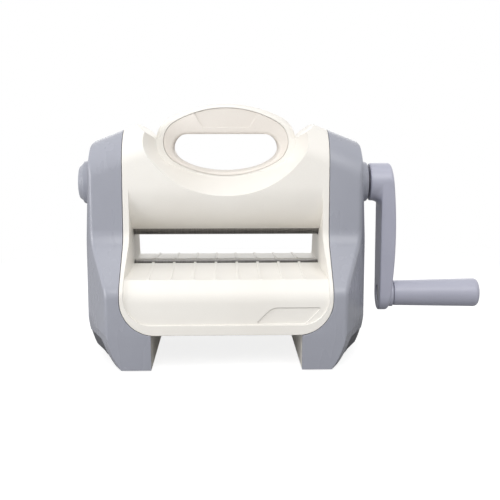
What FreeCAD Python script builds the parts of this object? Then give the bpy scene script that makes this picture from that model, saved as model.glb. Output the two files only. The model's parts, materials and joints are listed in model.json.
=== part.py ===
import FreeCAD, Part
import math
import os
from FreeCAD import Vector

# A hand cranked die cutting machine, all sizes in millimetres.
# X runs along the rollers to the crank, -Y is the feed side in front, Z is up from the table.

# Envelope shared by the shells and the side covers
SLOT_HALF = 80.0
SLOT_WALL = 5.0
SHOULDER_IN = 10.5
COVER_TOP_OUT = 5.5
BEVEL_IN = 21.0
LEG_IN = 24.5
UPPER_HALF_DEPTH = 43.0
LOWER_HALF_DEPTH = 82.0
SHOULDER_Z = 196.0
TOP_SLOPE_DEG = 21.5
TOP_ROUND = 28.0
COVER_CORNER_ROUND = 7.0
DRAFT_Z = 95.0
BEND_Z = 101.0
BEND_ROUND = 22.0
KNEE_Z = 66.0
KNEE_ROUND = 14.0
FOOT_SETBACK = 3.0
FOOT_BEND_Z = 30.0
FOOT_ROUND = 40.0
BEVEL_BACK_Y = 29.0
BEVEL_CORNER_ROUND = 12.0
BEVEL_EDGE_ROUND = 4.0
TAPER_Z = 40.0
TAPER_IN = 12.5
COVER_WALL = 2.8
COVER_BOTTOM = 1.2
ARCH_HALF = 64.5
ARCH_Z = 23.4
ARCH_ROUND = 6.0

# Shells
SEAM_GAP = 0.5
SHELL_WALL = 2.6
SHELL_BOTTOM_Z = 30.0
SHELL_CORNER_ROUND = 28.0
PARTING_GAP = 0.4
SLOT_FLARE = 2.0
ROLLER_ROOM = 2.0
NOSE_Z = 146.0
NOSE_ROUND = 40.0
LIP_Z = 107.6
DECK_BACK_Y = 13.0
DECK_BACK_Z = 77.5
CREASE_Y = 71.4
CREASE_Z = 73.2
PANEL_ROUND = 22.0
PANEL_RECESS = 1.4
RIM_TOP_Z = 38.0
RIM_CORNER_ROUND = 22.0
RIB_PITCH = 18.0
RIB_COUNT = 8
RIB_WIDTH = 2.2
RIB_HEIGHT = 0.8
RIB_OVERHANG = 1.4
RIB_START = 0.6
RIB_ROUND = 0.36
BADGE_LEFT_X = 23.0
BADGE_RIGHT_X = 76.0
BADGE_LOW_Z = 38.8
BADGE_HIGH_Z = 52.0
BADGE_DEPTH = 0.8
BADGE_TIP_ROUND = 1.0
BADGE_LOW_CURVE = 0.55
BADGE_HIGH_CURVE = 0.9
SHELL_BOSS_R = 4.5
SHELL_BOSS_X = 60.0
SHELL_BOSS_UPPER_Z = 138.0
SHELL_BOSS_LOWER_Z = 45.0
SHELL_SCREW_SINK = 10.0
SHELL_SCREW_BITE = 18.0
SHELL_PAD_R = 6.0
SHELL_PAD_UPPER = (32.0, 134.0)
SHELL_PAD_LOWER = (58.0, 46.0)

# Carry handle
RING_HALF_DEPTH = 17.0
RING_HALF_X = 59.0
RING_HALF_Z = 30.6
RING_Z = 182.6
RING_END_ROUND = 22.0
RING_ROUND = 5.0
VALLEY_Z = 184.5
SCOOP_HALF_X = 70.0
SCOOP_HALF_Z = 53.0
SCOOP_Z = 190.5
SCOOP_END_ROUND = 42.0
SCOOP_REACH = 1.7
SEAT_HALF_X = 52.8
SEAT_HALF_Z = 28.6
SEAT_Z = 181.5
SEAT_END_ROUND = 19.5
LINER_FIT = 0.15
LINER_RECESS = 0.5
LINER_ROUND = 2.4
LINER_RIM_ROUND = 0.4
OPENING_HALF_X = 44.8
OPENING_WIDE_Z = 175.6
OPENING_LOW_Z = 156.2
OPENING_CORNER = 12.4
PLAQUE_LOW_HALF = 20.0
PLAQUE_LOW_Z = 193.6
PLAQUE_FLARE = 0.56
PLAQUE_ROUND = 1.5
PLAQUE_DEPTH = 0.6

# Frame
PLATE_STANDOFF = 3.5
PLATE_THICK = 4.0
PLATE_UPPER_HALF = 36.0
PLATE_LOWER_HALF = 66.0
PLATE_FOOT_HALF = 50.0
PLATE_HIP_Z = 34.0
PLATE_TOP_Z = 168.0
PLATE_WAIST_Z = 104.0
PLATE_KNEE_Z = 64.0
PLATE_CORNER_ROUND = 6.0
BASE_THICK = 3.0
BASE_RECESS = 0.6
BASE_FIT = 0.3
SKIRT_Z = 10.5
BELOW = 1.0
PANEL_THICK = 2.4
PAD_SIZE = 18.0
PAD_SINK = 1.0
PAD_INSET = 1.5
PAD_ROUND = 3.0
PAD_Y = 54.0
BASE_SCREW_IN = 12.0
BASE_SCREW_WALL = 3.0
BASE_BOSS_R = 6.0
ROD_R = 4.0
ROD_UPPER = (27.0, 124.0)
ROD_LOWER = (46.0, 54.0)

# Rollers and drive
LOWER_AXIS_Z = 67.0
ROLLER_R = 11.0
ROLLER_END_GAP = 1.0
ROLLER_WALL_GAP = 0.8
ROLLER_EDGE_ROUND = 0.6
JOURNAL_R = 7.0
RUN_FIT = 0.03
PRESS_FIT = 0.01
BUSH_WALL = 3.0
BUSH_FLANGE = 2.5
BUSH_FLANGE_THICK = 1.5
BUSH_STANDOFF = 0.3
MODULE = 1.5
ROLLER_TEETH = 30
PINION_TEETH = 16
PRESSURE_DEG = 22.5
ADDENDUM = 0.95
DEDENDUM = 1.2
BACKLASH = 0.16
GEAR_WIDTH = 9.0
GEAR_GAP = 1.5
PINION_EXTRA = 0.5
GEAR_RIM = 4.5
GEAR_HUB_WALL = 4.5
GEAR_RECESS = 2.0
KEY_WIDTH = 4.0
KEY_HEIGHT = 4.0
KEY_FIT = 0.02
KEY_END_GAP = 0.2
CLIP_THICK = 1.2
CLIP_WALL = 2.5
CLIP_DEPTH = 0.8
CLIP_FIT = 0.05
CLIP_GAP = 0.3
CLIP_OPENING = 0.7
JOURNAL_TAIL = 2.0

# Crank
SHAFT_R = 5.0
SHAFT_END_ROOM = 1.0
SHAFT_END_GAP = 0.5
SHAFT_TAP = 10.0
PINION_COLLAR = 4.5
PINION_COLLAR_WALL = 3.5
PIN_SHORT = 0.2
BOSS_R = 20.0
BOSS_TOP_R = 16.6
CAP_BOSS_R = 20.0
CAP_BOSS_TOP_R = 18.0
CAP_R = 16.2
CAP_TOP_R = 13.5
CAP_ROUND = 2.04
CAP_HEIGHT = 3.4
CAP_STEM_R = 9.0
CAP_STEM = 6.0
BOSS_PROUD = 4.9
BOSS_SINK = 1.0
BOSS_ROUND = 2.0
COLLAR_GAP = 0.7
HUB_GAP = 1.6
HUB_R = 16.3
HUB_FILLET = 7.0
HUB_THICK = 18.5
HUB_EDGE_ROUND = 1.5
ARM_SET_OUT = 9.5
ARM_BULGE_OUT = 22.8
ARM_END_OUT = 22.5
ARM_END_R = 14.8
ARM_TOE_IN = 4.5
ARM_OVERLAP = 6.0
ARM_BULGE_RISE = 6.0
ARM_EDGE_ROUND = 2.5
ARM_INNER_ROUND = 1.5
ARM_END_SEAT_R = 12.0
CRANK_RADIUS = 98.6
SOCKET_DEPTH = 14.0
SOCKET_FLAT = 1.2
SOCKET_FIT = 0.03
WASHER_R = 6.0
WASHER_THICK = 1.0
WASHER_BED = 2.0
GRIP_GAP = 0.8
GRIP_LENGTH = 75.7
GRIP_SMALL_R = 11.0
GRIP_LARGE_R = 12.5
GRIP_END_ROUND = 4.0
GRIP_START_ROUND = 1.0
GRIP_BOLT_R = 4.0
GRIP_BOLT_HEAD_R = 7.0
GRIP_BOLT_HEAD = 4.0
GRIP_BOLT_SINK = 1.0
GRIP_BOLT_SLOT = 0.7
GRIP_BOLT_TIP = 0.8
ARM_POCKET_R = 7.3
GRIP_BORE_FIT = 0.1
GRIP_NUT_R = 6.5
GRIP_NUT_THICK = 5.0
GRIP_NUT_GAP = 0.4
GRIP_POCKET_R = 9.5
GRIP_POCKET_DEPTH = 7.0

# Fasteners
SCREW_R = 2.0
SCREW_HEAD_R = 3.6
SCREW_HEAD = 2.4
SCREW_FIT = 0.05
SCREW_END_ROOM = 2.0
CROSS_HALF = 2.2
CROSS_SLOT = 0.5
CROSS_DEPTH = 1.0
SOCKET_SHARE = 0.8
HEAD_FLOOR = 1.2
COVER_SCREW_BITE = 10.0
ROD_SCREW_BITE = 10.0
PAD_SCREW_BITE = 5.0
BASE_SCREW_BITE = 10.0
BASE_HEAD = 1.0
BASE_HEAD_SINK = 0.2
SCREW_HOLE_FIT = 0.3
ROD_SCREW_R = 2.5
ROD_SCREW_HEAD_R = 4.6
ROD_SCREW_HEAD = 2.8
CRANK_SCREW_BITE = 8.0
POST_R = 4.5
POST_UPPER = (28.0, 157.0)
POST_LOWER = (50.0, 34.0)

# Derived places, from the feed slot outwards
SEAM_X = SLOT_HALF + SLOT_WALL
SHOULDER_X = SEAM_X - SHOULDER_IN
LEG_INNER_X = SEAM_X - LEG_IN
PLATE_INNER_X = SEAM_X + PLATE_STANDOFF
PLATE_OUTER_X = PLATE_INNER_X + PLATE_THICK
GEAR_X = PLATE_OUTER_X + GEAR_GAP
GEAR_END_X = GEAR_X + GEAR_WIDTH
PINION_X0 = GEAR_X - PINION_EXTRA
PINION_X1 = GEAR_END_X + PINION_EXTRA
PIN_X = PINION_X1 + PINION_COLLAR / 2
BOSS_START_X = PINION_X1 + PINION_COLLAR + COLLAR_GAP + BUSH_FLANGE_THICK
COVER_CORNER_X = BOSS_START_X + COVER_WALL - BOSS_SINK
HALF_WIDTH = COVER_CORNER_X + COVER_TOP_OUT
BEVEL_FRONT_X = HALF_WIDTH - BEVEL_IN
BOSS_X = HALF_WIDTH + BOSS_PROUD
HUB_X = BOSS_X + HUB_GAP
ARM_INNER_X = HUB_X + ARM_SET_OUT
ARM_BULGE_X = HUB_X + ARM_BULGE_OUT
ARM_END_X = HUB_X + ARM_END_OUT
WASHER_X = HUB_X + SOCKET_DEPTH + WASHER_BED
CLIP_X = GEAR_END_X + CLIP_GAP
CLIP_LEFT_X = -(PLATE_OUTER_X + BUSH_STANDOFF + CLIP_GAP + CLIP_THICK)
SHAFT_CLIP_X = PLATE_INNER_X - BUSH_FLANGE_THICK - CLIP_GAP - CLIP_THICK
UPPER_AXIS_Z = LOWER_AXIS_Z + MODULE * ROLLER_TEETH
CRANK_Z = UPPER_AXIS_Z + MODULE * (ROLLER_TEETH + PINION_TEETH) / 2
TOP_SLOPE = math.tan(math.radians(TOP_SLOPE_DEG))
BASE_Z = COVER_BOTTOM + BASE_FIT
BASE_TOP_Z = BASE_Z + BASE_THICK
HUB_OUTER_X = HUB_X + HUB_THICK
GRIP_Z = CRANK_Z - CRANK_RADIUS
GRIP_X = ARM_END_X + GRIP_GAP
GRIP_END_X = GRIP_X + GRIP_LENGTH
NUT_X = GRIP_END_X - GRIP_POCKET_DEPTH + GRIP_NUT_GAP
LEFT_END_X = -(BOSS_X + CAP_HEIGHT)
LIP_Y = UPPER_HALF_DEPTH - NOSE_ROUND + math.sqrt(NOSE_ROUND ** 2 - (NOSE_Z - LIP_Z) ** 2)
PANEL_Y = LOWER_HALF_DEPTH - PANEL_RECESS
ORIGIN_SHIFT = Vector(-(GRIP_END_X + LEFT_END_X) / 2, 0, 0)
FAR = 300.0
BEYOND = 20.0


def on_plane(plane, a, b):
    """A point of a drawing on one of the three main planes."""
    if plane == "xz":
        return Vector(a, 0, b)
    if plane == "yz":
        return Vector(0, a, b)
    return Vector(a, b, 0)


def rounded_wire(points, plane):
    """Closed outline through (a, b) or (a, b, radius) points, with arcs at the rounded corners."""
    flat = [Vector(p[0], p[1], 0) for p in points]
    radii = [p[2] if len(p) > 2 else 0 for p in points]
    corners = []
    for i, corner in enumerate(flat):
        if radii[i] == 0:
            corners.append((corner, None, corner))
            continue
        before = (flat[i - 1] - corner).normalize()
        after = (flat[(i + 1) % len(flat)] - corner).normalize()
        half = before.getAngle(after) / 2
        reach = radii[i] / math.tan(half)
        centre = corner + (before + after).normalize() * (radii[i] / math.sin(half))
        middle = centre + (corner - centre).normalize() * radii[i]
        corners.append((corner + before * reach, middle, corner + after * reach))
    edges = []
    for i, (start, middle, end) in enumerate(corners):
        if middle is not None:
            arc = [on_plane(plane, p.x, p.y) for p in (start, middle, end)]
            edges.append(Part.Arc(*arc).toShape())
        following = corners[(i + 1) % len(corners)][0]
        if (following - end).Length > 1e-6:
            ends = [on_plane(plane, p.x, p.y) for p in (end, following)]
            edges.append(Part.LineSegment(*ends).toShape())
    return Part.Wire(edges)


def prism(wire, low, high, axis):
    """Solid between two stations on an axis, with the given cross section."""
    face = Part.Face(wire)
    face.translate(axis * low)
    return face.extrude(axis * (high - low))


X = Vector(1, 0, 0)
Y = Vector(0, 1, 0)
Z = Vector(0, 0, 1)


def inset_wire(wire, inset):
    return wire.makeOffset2D(-inset) if inset else wire


def box(x0, x1, y0, y1, z0, z1):
    return Part.makeBox(x1 - x0, y1 - y0, z1 - z0, Vector(x0, y0, z0))


def rod_x(radius, x0, x1, y, z):
    """Cylinder along X."""
    return Part.makeCylinder(radius, x1 - x0, Vector(x0, y, z), X)


def rod_y(radius, y0, y1, x, z):
    """Cylinder along Y."""
    return Part.makeCylinder(radius, y1 - y0, Vector(x, y0, z), Y)


def rod_z(radius, z0, z1, x, y):
    """Cylinder along Z."""
    return Part.makeCylinder(radius, z1 - z0, Vector(x, y, z0), Z)


def mirror_x(shape):
    return shape.mirror(Vector(0, 0, 0), X)


def mirror_y(shape):
    return shape.mirror(Vector(0, 0, 0), Y)


def front_and_rear(y, z):
    """The front and the rear place of one pair of (y, z) values."""
    return [(-y, z), (y, z)]


def save(name, shape):
    placed = shape.copy()
    placed.translate(ORIGIN_SHIFT)
    placed.exportStep("parts/" + name + ".step")


def side_profile(inset):
    """Lower body seen from the side: bend, slope, knee and foot, front and rear alike."""
    front = [
        (-UPPER_HALF_DEPTH, NOSE_Z),
        (-UPPER_HALF_DEPTH, BEND_Z, BEND_ROUND),
        (-LOWER_HALF_DEPTH, KNEE_Z, KNEE_ROUND),
        (-LOWER_HALF_DEPTH, FOOT_BEND_Z, FOOT_ROUND),
        (-LOWER_HALF_DEPTH + FOOT_SETBACK, -FOOT_BEND_Z),
    ]
    rear = [(-p[0],) + p[1:] for p in reversed(front)]
    return inset_wire(rounded_wire(front + rear, "yz"), inset)


def plan_profile(inset):
    """Right half seen from above, with the two bevels."""
    lean = (HALF_WIDTH - BEVEL_FRONT_X) / (LOWER_HALF_DEPTH - BEVEL_BACK_Y)
    far_y = LOWER_HALF_DEPTH + BEYOND
    far_x = BEVEL_FRONT_X - BEYOND * lean
    points = [
        (-BEYOND, -far_y),
        (far_x, -far_y),
        (HALF_WIDTH, -BEVEL_BACK_Y, BEVEL_CORNER_ROUND),
        (HALF_WIDTH, BEVEL_BACK_Y, BEVEL_CORNER_ROUND),
        (far_x, far_y),
        (-BEYOND, far_y),
    ]
    return inset_wire(rounded_wire(points, "xy"), inset)


def front_profile(inset):
    """Right half seen from the front: sloped top, rounded corner and draft."""
    points = [
        (-BEYOND, SHOULDER_Z + (SHOULDER_X + BEYOND) * TOP_SLOPE),
        (COVER_CORNER_X, SHOULDER_Z - (COVER_CORNER_X - SHOULDER_X) * TOP_SLOPE, COVER_CORNER_ROUND),
        (HALF_WIDTH, DRAFT_Z),
        (HALF_WIDTH, -2 * BEYOND),
        (-BEYOND, -2 * BEYOND),
    ]
    return inset_wire(rounded_wire(points, "xz"), inset)


def roof_block(inset):
    """Upper body under one sloping roof, its long edges rounded."""
    drop = inset / math.cos(math.radians(TOP_SLOPE_DEG))
    apex = SHOULDER_Z + SHOULDER_X * TOP_SLOPE - drop
    half = UPPER_HALF_DEPTH - inset
    reach = HALF_WIDTH + BEYOND
    points = [(-1.0, apex + TOP_SLOPE), (reach, apex - reach * TOP_SLOPE), (reach, 0), (-1.0, 0)]
    block = prism(rounded_wire(points, "xz"), -half, half, Y)
    ridge = []
    for edge in block.Edges:
        middle = edge.CenterOfMass
        if abs(abs(middle.y) - half) < 0.001 and SHOULDER_Z / 2 < middle.z and 0 < middle.x < reach - 1:
            ridge.append(edge)
    return block.makeFillet(TOP_ROUND - inset, ridge)


def half_envelope(inset):
    """Right half of the outer form, moved inwards by the inset."""
    reach = HALF_WIDTH + BEYOND
    body = roof_block(inset).fuse(prism(side_profile(inset), -1.0, reach, X))
    body = body.common(prism(front_profile(inset), -FAR, FAR, Y))
    body = body.common(prism(plan_profile(inset), -BEYOND, FAR, Z))
    return body.common(box(0, FAR, -FAR, FAR, -BEYOND, FAR)).removeSplitter()


def bevel_edges(body):
    """Edges between the bevel planes and the faces in front of and behind them."""
    found = []
    for edge in body.Edges:
        middle = edge.CenterOfMass
        if abs(middle.y) < UPPER_HALF_DEPTH - 4 or middle.z < -10:
            continue
        bevels = 0
        for face in body.ancestorsOfType(edge, Part.Face):
            if face.Surface.TypeId == "Part::GeomPlane":
                normal = face.Surface.Axis
                if abs(normal.z) < 0.001 and 0.2 < abs(normal.x) and 0.2 < abs(normal.y):
                    bevels += 1
        if bevels == 1:
            found.append(edge)
    return found


def taper_cut(inset):
    """What is cut from the outer lower edge of the right cover, along its side and both bevels."""
    radius = (TAPER_Z ** 2 + TAPER_IN ** 2) / (2 * TAPER_IN)
    start = Vector(-inset, 0, TAPER_Z)
    middle_z = TAPER_Z / 2
    middle = Vector(-inset - radius + math.sqrt(radius ** 2 - middle_z ** 2), 0, middle_z)
    end = Vector(-inset - TAPER_IN, 0, 0)
    low = Vector(-inset - TAPER_IN - BEYOND / 5, 0, -BEYOND)
    edges = [Part.Arc(start, middle, end).toShape()]
    outline = [end, low, Vector(3 * BEYOND, 0, -BEYOND), Vector(3 * BEYOND, 0, TAPER_Z), start]
    for a, b in zip(outline, outline[1:]):
        edges.append(Part.LineSegment(a, b).toShape())
    face = Part.Face(Part.Wire(edges))
    face.translate(Vector(0, -FAR / 2, 0))
    wedge = face.extrude(Vector(0, FAR, 0))
    side = wedge.copy()
    side.translate(Vector(HALF_WIDTH, 0, 0))
    angle = math.degrees(math.atan2(HALF_WIDTH - BEVEL_FRONT_X, LOWER_HALF_DEPTH - BEVEL_BACK_Y))
    front = wedge.copy()
    front.rotate(Vector(0, 0, 0), Z, -angle)
    front.translate(Vector(HALF_WIDTH, -BEVEL_BACK_Y, 0))
    rear = wedge.copy()
    rear.rotate(Vector(0, 0, 0), Z, angle)
    rear.translate(Vector(HALF_WIDTH, BEVEL_BACK_Y, 0))
    return [side, front, rear]


def tapered(body, inset):
    """A body with the outer lower edge taken off."""
    for tool in taper_cut(inset):
        body = body.cut(tool)
    return body


def tongue(grow, height):
    """Outline of the shells seen from the front, with rounded lower corners."""
    half = SEAM_X + grow
    low = SHELL_BOTTOM_Z - grow
    corner = SHELL_CORNER_ROUND + grow
    points = [(-half, low, corner), (half, low, corner), (half, height), (-half, height)]
    return prism(rounded_wire(points, "xz"), -FAR, FAR, Y)


def oval_wire(half_x, half_z, end_round, centre_z, y):
    """Upright oval of four tangent arcs: two round ends and two flatter long sides."""
    end_x = half_x - end_round
    long_round = (end_x ** 2 + half_z ** 2 - end_round ** 2) / (2 * (half_z - end_round))
    drop = long_round - half_z
    lean = math.atan2(end_x, drop)
    corners = []
    for sx, sz in ((1, 1), (-1, 1), (-1, -1), (1, -1)):
        corners.append((sx * (end_x + end_round * math.sin(lean)), sz * end_round * math.cos(lean)))
    tops = [(0, half_z), (-half_x, 0), (0, -half_z), (half_x, 0)]
    edges = []
    for i in range(4):
        run = [corners[i], tops[i], corners[(i + 1) % 4]]
        edges.append(Part.Arc(*[Vector(px, y, centre_z + pz) for px, pz in run]).toShape())
    return Part.Wire(edges)


def oval_rod(half_x, half_z, end_round, centre_z, y0, y1):
    face = Part.Face(oval_wire(half_x, half_z, end_round, centre_z, y0))
    return face.extrude(Vector(0, y1 - y0, 0))


def ring_rod(y0, y1):
    return oval_rod(RING_HALF_X, RING_HALF_Z, RING_END_ROUND, RING_Z, y0, y1)


def seat_rod(fit, y0, y1):
    return oval_rod(SEAT_HALF_X - fit, SEAT_HALF_Z - fit, SEAT_END_ROUND - fit, SEAT_Z, y0, y1)


def scoop(grow):
    """Dished space in front of the handle, widening towards the front."""
    span = UPPER_HALF_DEPTH - RING_HALF_DEPTH
    rings = []
    for reach in (0.0, SCOOP_REACH):
        rings.append(oval_wire(
            RING_HALF_X + grow + reach * (SCOOP_HALF_X - RING_HALF_X),
            RING_HALF_Z + grow + reach * (SCOOP_HALF_Z - RING_HALF_Z),
            RING_END_ROUND + grow + reach * (SCOOP_END_ROUND - RING_END_ROUND),
            RING_Z + reach * (SCOOP_Z - RING_Z),
            -RING_HALF_DEPTH + grow - reach * span,
        ))
    return Part.makeLoft(rings, True, True)


def valley(grow):
    """Space between the two shoulders, down to the widest part of the handle ring."""
    rise = (SHOULDER_Z - VALLEY_Z) / (SHOULDER_X - RING_HALF_X)
    top = SHOULDER_Z + FAR
    out = SHOULDER_X + FAR / rise
    low = VALLEY_Z - grow * math.sqrt(1 + rise ** 2)
    points = [(-RING_HALF_X, low), (RING_HALF_X, low), (out, top - grow), (-out, top - grow)]
    return prism(rounded_wire(points, "xz"), -FAR, FAR, Y)


def mouth(grow):
    """Feed space in front of the rollers: under the nose and over the deck."""
    centre_y = -UPPER_HALF_DEPTH + NOSE_ROUND
    radius = NOSE_ROUND - grow
    lip_z = LIP_Z + grow
    lip_y = centre_y - math.sqrt(radius ** 2 - (NOSE_Z - lip_z) ** 2)
    turn = math.radians(225)
    middle = Vector(0, centre_y + radius * math.cos(turn), NOSE_Z + radius * math.sin(turn))
    lean = (DECK_BACK_Z - CREASE_Z) / (CREASE_Y - DECK_BACK_Y)
    crease = Vector(0, -CREASE_Y - grow, DECK_BACK_Z - grow - (CREASE_Y + grow - DECK_BACK_Y) * lean)
    points = [
        Vector(0, centre_y - radius, NOSE_Z),
        Vector(0, -FAR, NOSE_Z),
        Vector(0, -FAR, crease.z),
        crease,
        Vector(0, 1 + grow, DECK_BACK_Z - grow + (1 + grow + DECK_BACK_Y) * lean),
        Vector(0, 1 + grow, lip_z),
        Vector(0, lip_y, lip_z),
    ]
    edges = [Part.Arc(points[6], middle, points[0]).toShape()]
    for a, b in zip(points, points[1:]):
        edges.append(Part.LineSegment(a, b).toShape())
    solid = prism(Part.Wire(edges), -SLOT_HALF - SLOT_FLARE - grow, SLOT_HALF + SLOT_FLARE + grow, X)
    inner = SLOT_HALF + grow
    outer = inner + SLOT_FLARE
    plan = [
        (-inner, FAR), (-inner, -UPPER_HALF_DEPTH), (-outer, -CREASE_Y), (-outer, -FAR - 1),
        (outer, -FAR - 1), (outer, -CREASE_Y), (inner, -UPPER_HALF_DEPTH), (inner, FAR),
    ]
    return solid.common(prism(rounded_wire(plan, "xy"), 0, FAR, Z))


def panel_recess(grow):
    """Space in front of the rounded front panel, inside its rim."""
    radius = PANEL_ROUND - grow
    centre_y = -PANEL_Y + PANEL_ROUND
    centre_z = CREASE_Z - math.sqrt(PANEL_ROUND ** 2 - (CREASE_Y + centre_y) ** 2)
    high_y = centre_y - math.sqrt(radius ** 2 - (CREASE_Z - grow - centre_z) ** 2)
    turn = math.radians(165)
    points = [
        Vector(0, high_y, CREASE_Z - grow),
        Vector(0, centre_y + radius * math.cos(turn), centre_z + radius * math.sin(turn)),
        Vector(0, centre_y - radius, centre_z),
        Vector(0, centre_y - radius, 0),
        Vector(0, -FAR, 0),
        Vector(0, -FAR, CREASE_Z - grow),
    ]
    edges = [Part.Arc(points[0], points[1], points[2]).toShape()]
    for a, b in zip(points[2:], points[3:] + points[:1]):
        edges.append(Part.LineSegment(a, b).toShape())
    half = SLOT_HALF + SLOT_FLARE + grow
    solid = prism(Part.Wire(edges), -half, half, X)
    low = RIM_TOP_Z - grow
    corner = RIM_CORNER_ROUND
    outline = [(-half, low, corner), (half, low, corner), (half, FAR), (-half, FAR)]
    return solid.common(prism(rounded_wire(outline, "xz"), -FAR, 0, Y))


def ribs():
    """Raised feed ribs on the front deck."""
    lean = math.degrees(math.atan2(DECK_BACK_Z - CREASE_Z, CREASE_Y - DECK_BACK_Y))
    length = math.hypot(CREASE_Y - DECK_BACK_Y, DECK_BACK_Z - CREASE_Z)
    strips = []
    for i in range(RIB_COUNT):
        x = (i - (RIB_COUNT - 1) / 2) * RIB_PITCH
        depth = RIB_HEIGHT + SHELL_WALL / 2
        strip = Part.makeBox(RIB_WIDTH, length + RIB_OVERHANG - RIB_START, depth)
        strip.translate(Vector(x - RIB_WIDTH / 2, RIB_START, -SHELL_WALL / 2))
        top = [e for e in strip.Edges if abs(e.CenterOfMass.z - RIB_HEIGHT) < 0.001]
        strip = strip.makeFillet(RIB_ROUND, top)
        strip.rotate(Vector(0, 0, 0), X, lean)
        strip.translate(Vector(0, -CREASE_Y, CREASE_Z))
        strips.append(strip)
    return strips


def badge_cut():
    """Shallow bare field in the lower right of the front panel."""
    low = BADGE_LOW_Z
    high = BADGE_HIGH_Z
    rise = high - low
    points = [
        (BADGE_LEFT_X, low, BADGE_TIP_ROUND),
        (BADGE_RIGHT_X - rise, low, rise * BADGE_LOW_CURVE),
        (BADGE_RIGHT_X, high, BADGE_TIP_ROUND),
        (BADGE_LEFT_X + rise, high, rise * BADGE_HIGH_CURVE),
    ]
    return prism(rounded_wire(points, "xz"), -FAR, -PANEL_Y + BADGE_DEPTH, Y)


def opening_wire(grow):
    """Bean shaped hand opening: flat top, rounded corners, half ellipse below."""
    half = OPENING_HALF_X + grow
    wide = OPENING_WIDE_Z
    corner = OPENING_CORNER + grow
    depth = wide - OPENING_LOW_Z + grow
    flat = half - corner
    low = Part.Ellipse(Vector(0, 0, 0), half, depth).toShape(math.pi, 2 * math.pi)
    low.rotate(Vector(0, 0, 0), X, 90)
    low.translate(Vector(0, 0, wide))
    diag = corner * math.sqrt(0.5)
    right = [Vector(half, 0, wide), Vector(flat + diag, 0, wide + diag), Vector(flat, 0, wide + corner)]
    left = [Vector(-p.x, 0, p.z) for p in right]
    top = Part.LineSegment(right[2], left[2]).toShape()
    return Part.Wire(Part.sortEdges([low, Part.Arc(*right).toShape(), top, Part.Arc(*left).toShape()])[0])


def ring():
    """Carry handle hoop with rounded outer edges."""
    hoop = ring_rod(-RING_HALF_DEPTH, RING_HALF_DEPTH)
    rims = [e for e in hoop.Edges if abs(abs(e.CenterOfMass.y) - RING_HALF_DEPTH) < 0.001]
    return hoop.makeFillet(RING_ROUND, rims)


def whole_envelope(inset):
    right = half_envelope(inset)
    return right.fuse(mirror_x(right)).removeSplitter()


def shell_places():
    """X and Z of the screws that hold the two shells together."""
    places = []
    for x in (-SHELL_BOSS_X, SHELL_BOSS_X):
        places.append((x, SHELL_BOSS_UPPER_Z))
        places.append((x, SHELL_BOSS_LOWER_Z))
    return places


def front_shell_solid(outer, inner):
    """Front half of the light coloured body, hollow behind."""
    body = outer.common(tongue(0, FAR)).cut(valley(0)).cut(scoop(0)).fuse(ring())
    body = body.cut(mouth(0)).cut(panel_recess(0))
    cavity = inner.common(tongue(-SHELL_WALL, FAR)).cut(valley(SHELL_WALL)).cut(scoop(SHELL_WALL))
    cavity = cavity.cut(ring_rod(-FAR, FAR))
    cavity = cavity.cut(mouth(SHELL_WALL)).cut(panel_recess(SHELL_WALL))
    strip_low = KNEE_Z - KNEE_ROUND
    cavity = cavity.cut(box(SLOT_HALF, FAR, -FAR, FAR, strip_low, LIP_Z + SHELL_WALL))
    cavity = cavity.cut(box(-FAR, -SLOT_HALF, -FAR, FAR, strip_low, LIP_Z + SHELL_WALL))
    body = body.cut(cavity)
    upper_room = UPPER_AXIS_Z + ROLLER_R + ROLLER_ROOM
    lower_room = LOWER_AXIS_Z - ROLLER_R - ROLLER_ROOM
    body = body.cut(box(-SLOT_HALF, SLOT_HALF, -LIP_Y, FAR, LIP_Z - BELOW, upper_room))
    body = body.cut(box(-SLOT_HALF, SLOT_HALF, -DECK_BACK_Y, FAR, lower_room, DECK_BACK_Z + ROLLER_ROOM))
    body = body.cut(seat_rod(0, -FAR, FAR))
    return body.common(box(-FAR, FAR, -FAR, -PARTING_GAP / 2, 0, FAR)).removeSplitter()


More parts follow.
